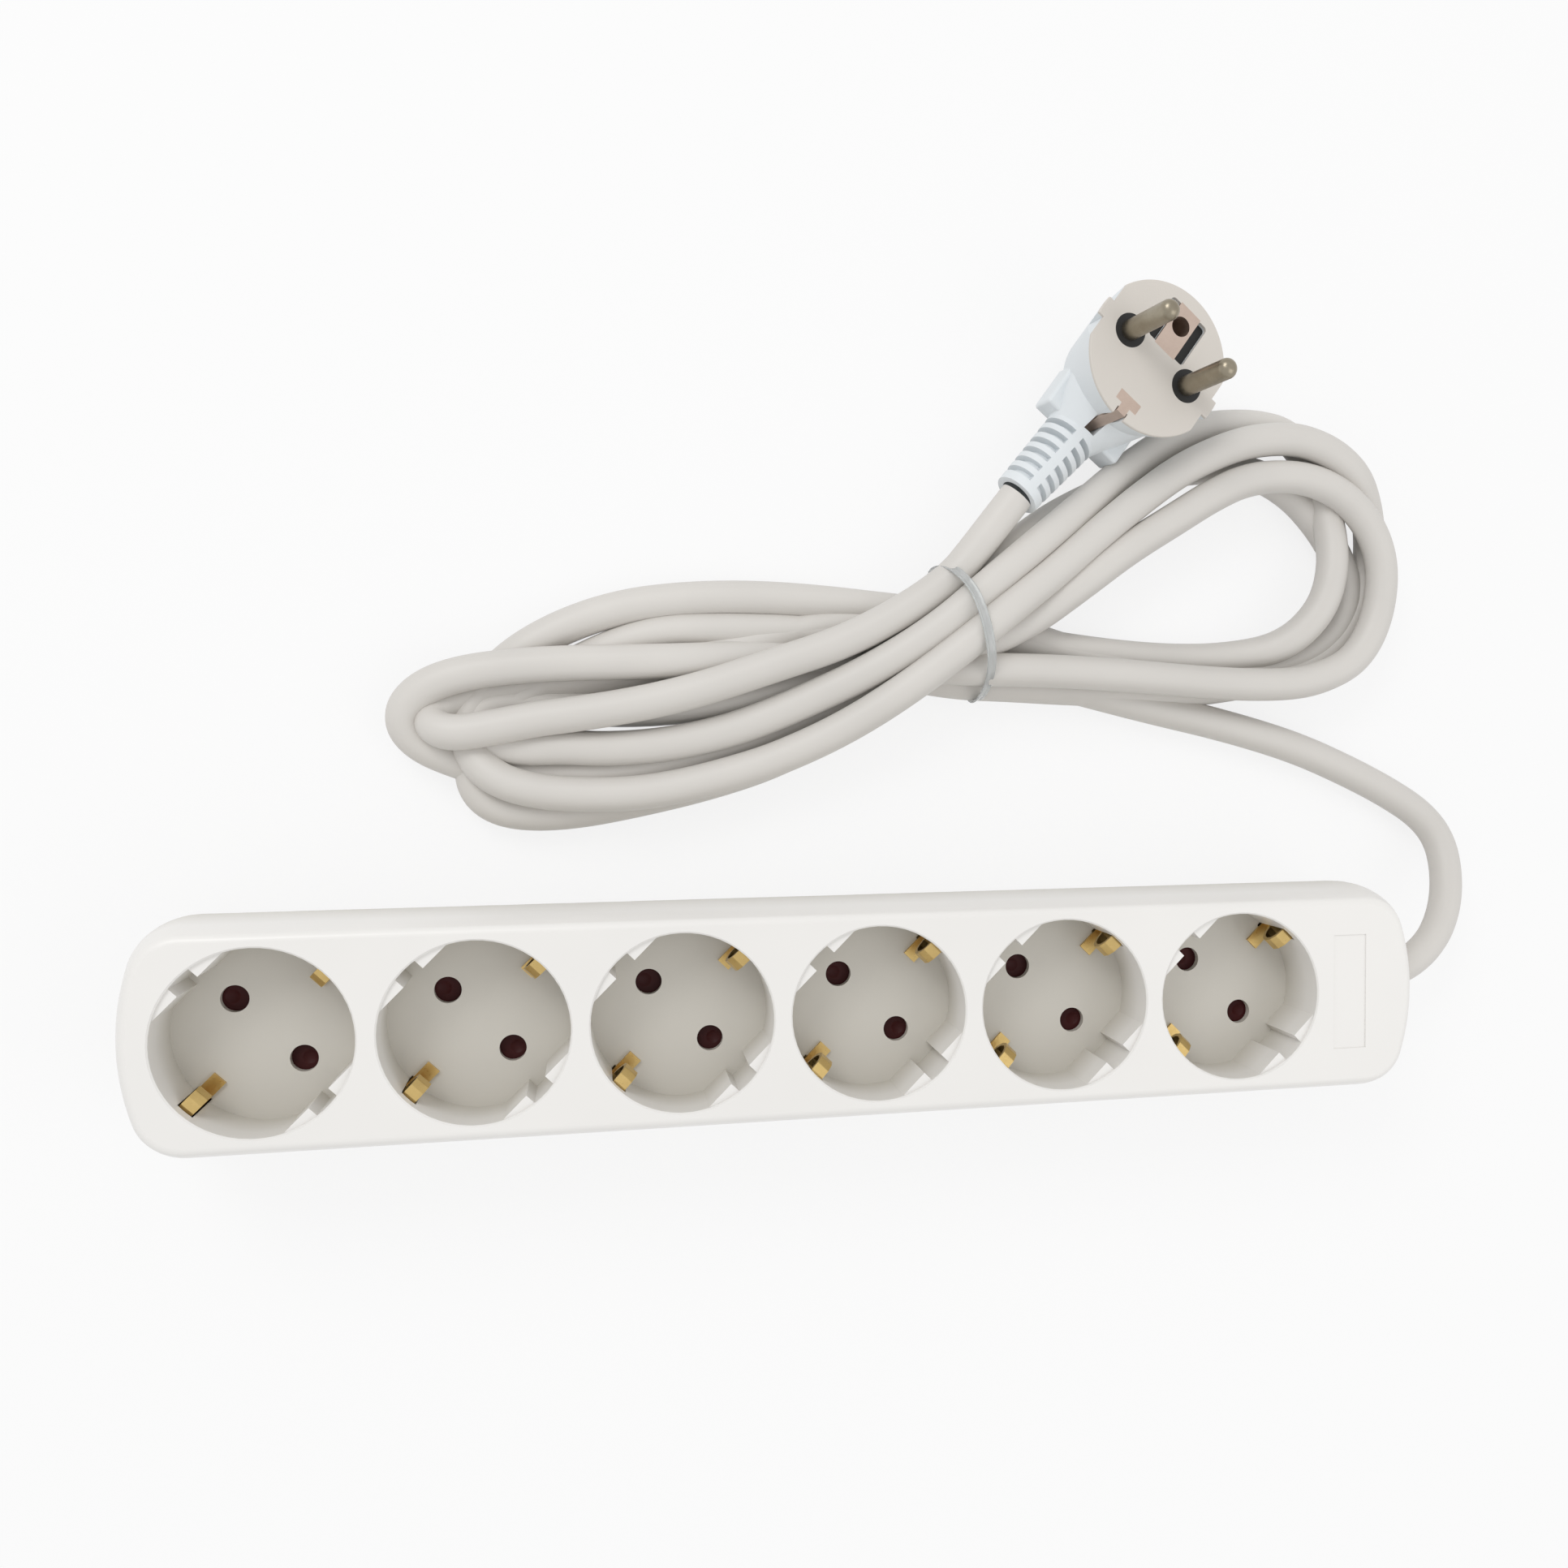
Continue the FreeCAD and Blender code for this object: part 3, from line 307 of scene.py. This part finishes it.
stamped.links.new(into.outputs["Roughness"], rough.inputs[2])
stamped.links.new(rough.outputs[0], out.inputs["Roughness"])
dents = add(stamped, "ShaderNodeBump")
dents.inputs["Strength"].default_value = 0.06
dents.inputs["Distance"].default_value = 0.0003
stamped.links.new(streaks, dents.inputs["Height"])
stamped.links.new(dents.outputs["Normal"], out.inputs["Normal"])

screw_zinc = finish_with(
    "screw_zinc",
    stamped,
    {"Colour": (0.62, 0.63, 0.66, 1), "Tarnish": (0.3, 0.3, 0.3, 1), "Roughness": 0.3},
    1.0,
)
paint(screw_zinc, *each("cover_screw", 4), *each("clamp_screw", 2))
paint(screw_zinc, *each("shutter_washer", 6), *each("shutter_spring", 6))

# ---------------------------------------------------------------- shutters

# A dark red shutter lies under the floor of each well and shows through the two pin holes. It is
# moulded in one piece with a dull skin, and turns on a boss of the cover.
shutter_red = finish_with(
    "shutter_red",
    moulded,
    {"Colour": (0.05, 0.006, 0.006, 1), "Drift": 0.3, "Roughness": 0.45, "Grain Depth": 0.1},
    **{"Specular IOR Level": 0.2},
)
paint(shutter_red, *each("shutter", 6))

# ---------------------------------------------------------------- earth clips and bars

# Each well has two spring clips of polished brass strip, the bent ends of one strap. The straps and
# the three bars that feed the outlets are punched from the same strip.
clip_brass = finish_with(
    "clip_brass",
    stamped,
    {"Colour": (0.78, 0.58, 0.24, 1), "Tarnish": (0.35, 0.2, 0.06, 1), "Amount": 0.5, "Roughness": 0.2},
    1.0,
)
paint(clip_brass, *each("earth_strap", 6), "earth_busbar", "line_busbar", "neutral_busbar")

# ---------------------------------------------------------------- clamp and cores

# Inside the right end a grey moulded bar grips the cord, held by two screws. Beyond it the three
# cores fan out to the bars, in brown, blue and green insulation.
clamp_grey = finish_with("clamp_grey", moulded, {"Colour": (0.6, 0.6, 0.58, 1), "Roughness": 0.5})
paint(clamp_grey, "cord_clamp")
for node_name, colour in (
    ("core_line", (0.09, 0.035, 0.012, 1)),
    ("core_neutral", (0.02, 0.07, 0.35, 1)),
    ("core_earth", (0.25, 0.42, 0.02, 1)),
):
    paint(finish_with(node_name, moulded, {"Colour": colour, "Roughness": 0.4}), node_name)

# ---------------------------------------------------------------- cord

# The cord has a soft off-white sheath over its three cores. It leaves the right end of the housing,
# lies as a flat hank of long loops, tied at the crossing, and ends in the plug.
sheath_radius = 0.0041
sheath = finish_with(
    "sheath",
    moulded,
    {
        "Colour": (0.67, 0.645, 0.61, 1),
        "Drift": 0.06,
        "Roughness": 0.42,
        "Grain Depth": 0.06,
        "Grain Scale": 1800.0,
    },
)
paint(sheath, "cord_end")

# The cord leaves the housing level and bends back to the floor.
route = [
    (136.5, 0, 20), (144.5, 0.3, 20), (152.6, 2.8, 19.8), (160.2, 8.4, 18.3), (165.6, 16.4, 15),
    (168.2, 25.2, 11.2), (168, 33.6, 7.8), (163.8, 40.2, 5.3), (154.5, 46.2, 4.4), (142.3, 52.2, 4.3),
    (127.5, 58.4, 4.3), (108, 64, 4.3),
]
# Under the hank, round the lowest left loop and back over the crossing.
route += [
    (88, 68.5, 4.3), (70, 73, 4.3), (52, 77.5, 4.6), (38, 81, 4.6), (22, 84.3, 4.6), (8, 86.3, 4.3),
    (-5.3, 87, 4.3), (-20.7, 87.1, 4.3), (-33, 86.6, 4.3), (-44, 83, 4.3), (-57, 76.5, 4.3),
    (-68.4, 68, 4.3), (-74.6, 60, 4.3), (-76.2, 52.4, 4.3), (-73, 46.8, 4.3), (-65.8, 44.2, 4.3),
    (-54, 44.3, 4.3), (-39.1, 46.9, 4.3), (-22, 50.8, 4.3), (-6, 56, 4.3), (10, 64.5, 4.6),
    (23, 72.5, 4.4), (31, 82, 4.6), (36.5, 91.5, 6),
]
# The inner right loop, back along the far side to the second left loop.
route += [
    (42.5, 99.5, 8.2), (50, 106.2, 8.6), (58.3, 112.6, 7.6), (67, 117.8, 6), (80, 123.8, 4.6),
    (93, 128, 4.3), (106, 129.6, 4.3), (117.8, 128, 4.3), (126, 123.6, 4.3), (131.6, 118.6, 4.3),
    (136.6, 112.6, 4.3), (141.2, 105, 4.3), (143, 97, 4.3), (139.9, 88.8, 4.3), (132.6, 82.6, 4.3),
    (122.4, 79.1, 4.3), (106.7, 77.5, 4.3), (86, 78.5, 4.3), (68, 82, 4.3), (53, 87, 4.5),
    (38, 90.6, 4.8), (21, 92.2, 4.6), (3, 94, 4.3), (-12.9, 94.7, 4.3), (-28.1, 94.1, 4.3),
    (-43, 91.9, 4.3), (-57, 86.7, 4.3), (-68, 79.6, 4.3), (-74.5, 71.5, 4.3), (-77, 63.5, 5.8),
    (-75, 56.4, 9), (-69.6, 51.8, 10.4), (-61.5, 49.4, 10.4), (-51.1, 48.5, 10.4), (-40.2, 48.6, 10.4),
    (-29.1, 50.2, 10.4), (-17.8, 53, 10.5), (-6.4, 56.5, 11), (9.1, 63.6, 13), (23.7, 72.9, 16.5),
    (39.1, 84.6, 18.4),
]
# The second loop from outside on the right, back along the near side to the outer left loop.
route += [
    (47.3, 91.2, 17.6), (61, 101.6, 14.4), (77.6, 115.4, 12.6), (90.3, 125, 12.6), (98.8, 129.8, 12.6),
    (109.2, 134, 12.6), (118.3, 135.6, 12.6), (126.5, 135.4, 12.6), (134.8, 132.4, 12.2),
    (142, 127.2, 10.6), (146.4, 120.2, 7.6), (148.7, 112.6, 5), (148.8, 104.4, 4.3), (146.8, 95.6, 4.3),
    (141.6, 86.6, 4.3), (133.7, 80, 4.3), (122.4, 76.4, 4.3), (108.9, 73.8, 4.3), (97.8, 72.7, 4.6),
    (84.7, 72.6, 5), (68, 73, 4.6), (50.8, 74, 4.3), (39, 74.4, 4.3), (26, 76.4, 4.3), (12, 79, 4.3),
    (-1, 80.4, 5), (-14, 80.2, 7), (-28, 79.4, 9.2), (-43.3, 78.9, 10), (-54.3, 78.7, 10),
    (-66, 77.9, 10), (-77, 76.4, 9.8), (-85, 73.6, 9.2), (-89.8, 69.2, 8), (-90.4, 64.6, 6.6),
    (-87.2, 60.4, 5.2), (-81.4, 57.4, 4.4), (-74, 54.8, 4.3), (-62, 52.8, 4.3), (-48, 53, 4.3),
    (-34, 55, 4.3), (-18, 59.4, 4.3), (0, 66.6, 4.3), (16, 73.4, 6.6), (28.5, 78.6, 9.6), (41, 83, 11),
]
# The outermost right loop, back to the smallest left loop.
route += [
    (54, 88.8, 11.8), (67, 98, 12.4), (79.5, 107.3, 12.6), (92.2, 115, 12.6), (101, 120.5, 12.6),
    (110.1, 125, 12.6), (120.6, 126.5, 12.6), (130, 125.4, 12.6), (138.2, 121.4, 12.6),
    (144.2, 115.2, 12.6), (147.6, 108, 12.6), (148.4, 100.6, 12.6), (147.1, 92.1, 12.6),
    (144, 84.8, 12.6), (139, 79.2, 12.6), (130.8, 75.6, 12.6), (123, 74.2, 12.6), (112, 74, 12.6),
    (98.9, 74.6, 12.6), (81.8, 76, 12.6), (66, 77, 12.6), (54, 77.4, 12.6), (41.5, 77.6, 12.2),
    (28, 78.4, 9), (14, 76.6, 5.4), (-4, 72.8, 4.3), (-22, 69.4, 4.3), (-38, 68, 4.3), (-52, 68.4, 4.3),
    (-62, 69.6, 4.3), (-69.6, 70, 4.4), (-74, 67.6, 5), (-74.6, 63.4, 6.2), (-71, 60.2, 7.4),
    (-64.2, 59.2, 8.3), (-56, 59.6, 8.6), (-47.3, 59, 8.6), (-36.1, 59.5, 8.8), (-24.8, 61.3, 9),
    (-13.3, 64.5, 9.4), (0, 70, 10.6), (16.5, 77.7, 13.5), (31.8, 87.4, 16),
]
# The loop under the plug, back under the others to the last left loop, over the crossing and out to
# the plug.
route += [
    (44, 97.8, 15.9), (56.3, 107.8, 14), (68, 117, 10.6), (79.2, 126.2, 7.6), (93.1, 135.6, 5),
    (102.1, 139, 4.3), (109.5, 140, 4.3), (117.2, 140.2, 4.3), (124.2, 138.9, 4.3), (129.6, 134.6, 4.3),
    (133.2, 128, 4.4), (135, 120, 6.4), (135.8, 112, 9.2), (135.4, 103.6, 11), (133, 94.6, 11),
    (127.4, 87.4, 9.6), (120.8, 83.3, 7.6), (112.8, 81.5, 5.6), (102.1, 80.5, 4.6), (89.1, 80.7, 4.3),
    (76.1, 81.8, 4.3), (63.4, 83.4, 4.3), (51, 85.4, 4.3), (38, 88.2, 4.3), (20, 89.8, 4.3),
    (2, 87.6, 4.3), (-16, 82.6, 4.3), (-32, 78, 4.3), (-48, 75.6, 4.3), (-60, 74.2, 4.3),
    (-71, 72.4, 4.3), (-79.4, 70.2, 4.5), (-83.2, 67.8, 6.2), (-84.2, 65.2, 9), (-82.2, 63.4, 11.7),
    (-78, 62.8, 12.9), (-71, 64, 12.9), (-61.5, 65.9, 12.6), (-54.3, 66.8, 12.6), (-43.5, 68.4, 12.6),
    (-32.6, 70.6, 12.6), (-21.5, 73.6, 12.6), (-6.4, 78.7, 12.6), (9, 83.8, 12.8), (24.2, 91.6, 12.6),
    (35.4, 99.4, 11.9), (40.6, 105.8, 12.8), (45.2, 111.9, 14.1), (50.9, 119.1, 14.6),
]

cord_curve = bpy.data.curves.new("cord", "CURVE")
cord_curve.dimensions = "3D"
cord_curve.bevel_depth = sheath_radius
cord_curve.bevel_resolution = 6
cord_curve.resolution_u = 8
spline = cord_curve.splines.new("NURBS")
spline.points.add(len(route) - 1)
for point, (x, y, z) in zip(spline.points, route):
    point.co = (x / 1000, y / 1000, z / 1000, 1)
spline.order_u = 3
spline.use_endpoint_u = True
cord = bpy.data.objects.new("cord", cord_curve)
scene.collection.objects.link(cord)
cord_curve.materials.append(sheath)
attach(cord, "housing")
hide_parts("cord_tail", "cord_hank", "cord_plug_lead")

# ---------------------------------------------------------------- tie

# The tie is a band of clear, glossy plastic, pulled once round the strands where they cross. It lies
# flat on them and is thicker along its two edges.
tie_clear = finish_with(
    "tie_clear",
    moulded,
    {"Colour": (0.8, 0.82, 0.82, 1), "Roughness": 0.05},
    **{"Transmission Weight": 0.6, "IOR": 1.45},
)
tie_path = [
    (31.6, 100.9, 5.5), (32.2, 102.3, 10.5), (34.2, 101.6, 15.2), (36.6, 98.9, 18.6), (38.8, 95.6, 20.7),
    (40.3, 90.9, 22.1), (41.5, 85.6, 23.1), (42.6, 81, 21.4), (43.4, 77.3, 17.6), (43.4, 73.4, 13.2),
    (42.8, 70.7, 8), (42.2, 70.2, 4), (41.6, 73.6, 1), (40, 80.5, 0.8), (37, 89.5, 0.8), (33.4, 98, 1.4),
]
tie_edges = [(i, (i + 1) % len(tie_path)) for i in range(len(tie_path))]
tie_loop_mesh = bpy.data.meshes.new("tie_loop")
tie_loop_mesh.from_pydata([[c / 1000 for c in point] for point in tie_path], tie_edges, [])
tie_loop = bpy.data.objects.new("tie_loop", tie_loop_mesh)
scene.collection.objects.link(tie_loop)

# The band is swept along that loop, with its outer face turned away from the middle of the strands.
tie_sizes = {
    "Centre": ("NodeSocketVector", (0.0385, 0.086, 0.011)),
    "Half Width": ("NodeSocketFloat", 0.0013),
    "Edge Start": ("NodeSocketFloat", 0.0008),
    "Edge Height": ("NodeSocketFloat", 0.0007),
    "Web End": ("NodeSocketFloat", 0.0005),
    "Web Height": ("NodeSocketFloat", 0.00035),
    "Steps": ("NodeSocketInt", 8),
    "Material": ("NodeSocketMaterial", tie_clear),
}
tie_band = bpy.data.node_groups.new("tie_band", "GeometryNodeTree")
tie_band.interface.new_socket("Loop", in_out="INPUT", socket_type="NodeSocketGeometry")
tie_inputs = {
    label: tie_band.interface.new_socket(label, in_out="INPUT", socket_type=kind).identifier
    for label, (kind, value) in tie_sizes.items()
}
tie_band.interface.new_socket("Band", in_out="OUTPUT", socket_type="NodeSocketGeometry")
into, out = add(tie_band, "NodeGroupInput"), add(tie_band, "NodeGroupOutput")


def smooth_spline(curve):
    """A round spline through the tree, drawn in the given steps from one point to the next."""
    spline = add(tie_band, "GeometryNodeCurveSplineType", spline_type="NURBS")
    tie_band.links.new(curve, spline.inputs["Curve"])
    stepped = add(tie_band, "GeometryNodeSetSplineResolution")
    tie_band.links.new(spline.outputs["Curve"], stepped.inputs["Geometry"])
    tie_band.links.new(into.outputs["Steps"], stepped.inputs["Resolution"])
    return stepped.outputs["Geometry"]


# The profile has eight corners, four on each side of its middle, from the inner face to the web.
half_profile = (
    ("Half Width", None),
    ("Half Width", "Edge Height"),
    ("Edge Start", "Edge Height"),
    ("Web End", "Web Height"),
)
corners = [(-1, *corner) for corner in half_profile] + [(1, *corner) for corner in reversed(half_profile)]
corner_place = add(tie_band, "GeometryNodeIndexSwitch", data_type="VECTOR")
for extra in corners[2:]:
    corner_place.index_switch_items.new()
tie_band.links.new(add(tie_band, "GeometryNodeInputIndex").outputs["Index"], corner_place.inputs["Index"])
for number, (side, across, height) in enumerate(corners, 1):
    mirrored = add(tie_band, "ShaderNodeMath", operation="MULTIPLY")
    mirrored.inputs[1].default_value = side
    tie_band.links.new(into.outputs[across], mirrored.inputs[0])
    corner = add(tie_band, "ShaderNodeCombineXYZ")
    tie_band.links.new(mirrored.outputs[0], corner.inputs["Y"])
    if height:
        tie_band.links.new(into.outputs[height], corner.inputs["X"])
    tie_band.links.new(corner.outputs["Vector"], corner_place.inputs[number])
profile_points = add(tie_band, "GeometryNodePoints")
profile_points.inputs["Count"].default_value = len(corners)
tie_band.links.new(corner_place.outputs[0], profile_points.inputs["Position"])
profile_line = add(tie_band, "GeometryNodePointsToCurves")
tie_band.links.new(profile_points.outputs[0], profile_line.inputs["Points"])
profile_ring = add(tie_band, "GeometryNodeSetSplineCyclic")
profile_ring.inputs["Cyclic"].default_value = True
tie_band.links.new(profile_line.outputs[0], profile_ring.inputs["Geometry"])

# Away from the centre, less what of that runs along the loop, is the way that the outer face looks.
from_centre = add(tie_band, "ShaderNodeVectorMath", operation="SUBTRACT")
tie_band.links.new(add(tie_band, "GeometryNodeInputPosition").outputs[0], from_centre.inputs[0])
tie_band.links.new(into.outputs["Centre"], from_centre.inputs[1])
lengthwise = add(tie_band, "ShaderNodeVectorMath", operation="PROJECT")
tie_band.links.new(from_centre.outputs[0], lengthwise.inputs[0])
tie_band.links.new(add(tie_band, "GeometryNodeInputTangent").outputs[0], lengthwise.inputs[1])
outward = add(tie_band, "ShaderNodeVectorMath", operation="SUBTRACT")
tie_band.links.new(from_centre.outputs[0], outward.inputs[0])
tie_band.links.new(lengthwise.outputs[0], outward.inputs[1])
outward_unit = add(tie_band, "ShaderNodeVectorMath", operation="NORMALIZE")
tie_band.links.new(outward.outputs[0], outward_unit.inputs[0])
loop_curve = add(tie_band, "GeometryNodeMeshToCurve")
tie_band.links.new(into.outputs["Loop"], loop_curve.inputs["Mesh"])
loop_turned = add(tie_band, "GeometryNodeSetCurveNormal", mode="FREE")
tie_band.links.new(smooth_spline(loop_curve.outputs[0]), loop_turned.inputs["Curve"])
tie_band.links.new(outward_unit.outputs[0], loop_turned.inputs["Normal"])

swept = add(tie_band, "GeometryNodeCurveToMesh")
tie_band.links.new(loop_turned.outputs[0], swept.inputs["Curve"])
tie_band.links.new(smooth_spline(profile_ring.outputs[0]), swept.inputs["Profile Curve"])
glossy = add(tie_band, "GeometryNodeSetShadeSmooth")
tie_band.links.new(swept.outputs[0], glossy.inputs["Geometry"])
real = add(tie_band, "GeometryNodeRealizeInstances")
tie_band.links.new(glossy.outputs[0], real.inputs["Geometry"])
clear = add(tie_band, "GeometryNodeSetMaterial")
tie_band.links.new(real.outputs[0], clear.inputs["Geometry"])
tie_band.links.new(into.outputs["Material"], clear.inputs["Material"])
tie_band.links.new(clear.outputs[0], out.inputs["Band"])

band = tie_loop.modifiers.new("band", "NODES")
band.node_group = tie_band
for label, (kind, value) in tie_sizes.items():
    band[tie_inputs[label]] = value
tie_data = bpy.data.meshes.new_from_object(tie_loop.evaluated_get(bpy.context.evaluated_depsgraph_get()))
tie_data.name = "tie"
tie = bpy.data.objects.new("tie", tie_data)
scene.collection.objects.link(tie)
bpy.data.objects.remove(tie_loop)
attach(tie, "housing")
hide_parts("cable_tie")

# ---------------------------------------------------------------- plug

# The plug is overmoulded on the cord in a cold white, with a beige disc set in its front. Two plain
# pins stand in black collars, and the earth parts round the hole and in the side are copper.
plug_white = finish_with(
    "plug_white",
    moulded,
    {"Colour": (0.75, 0.785, 0.805, 1), "Drift": 0.03, "Roughness": 0.45, "Grain Depth": 0.05},
)
paint(plug_white, "plug_body")
plug_beige = finish_with(
    "plug_beige",
    moulded,
    {"Colour": (0.66, 0.62, 0.57, 1), "Drift": 0.05, "Roughness": 0.55, "Grain Depth": 0.12},
)
paint(plug_beige, "plug_face")
pin_nickel = finish_with(
    "pin_nickel",
    stamped,
    {"Colour": (0.42, 0.38, 0.30, 1), "Tarnish": (0.16, 0.12, 0.07, 1), "Amount": 0.6, "Roughness": 0.22},
    1.0,
)
paint(pin_nickel, *each("plug_pin", 2))
collar_black = finish_with("collar_black", moulded, {"Colour": (0.012, 0.012, 0.012, 1), "Roughness": 0.5})
paint(collar_black, *each("plug_collar", 2), "plug_bridge")
plug_copper = finish_with(
    "plug_copper",
    stamped,
    {"Colour": (0.7, 0.57, 0.49, 1), "Tarnish": (0.45, 0.34, 0.28, 1), "Amount": 0.5, "Roughness": 0.35},
    1.0,
)
paint(plug_copper, "plug_earth_plate", "plug_earth_sleeve", "plug_earth_strip")
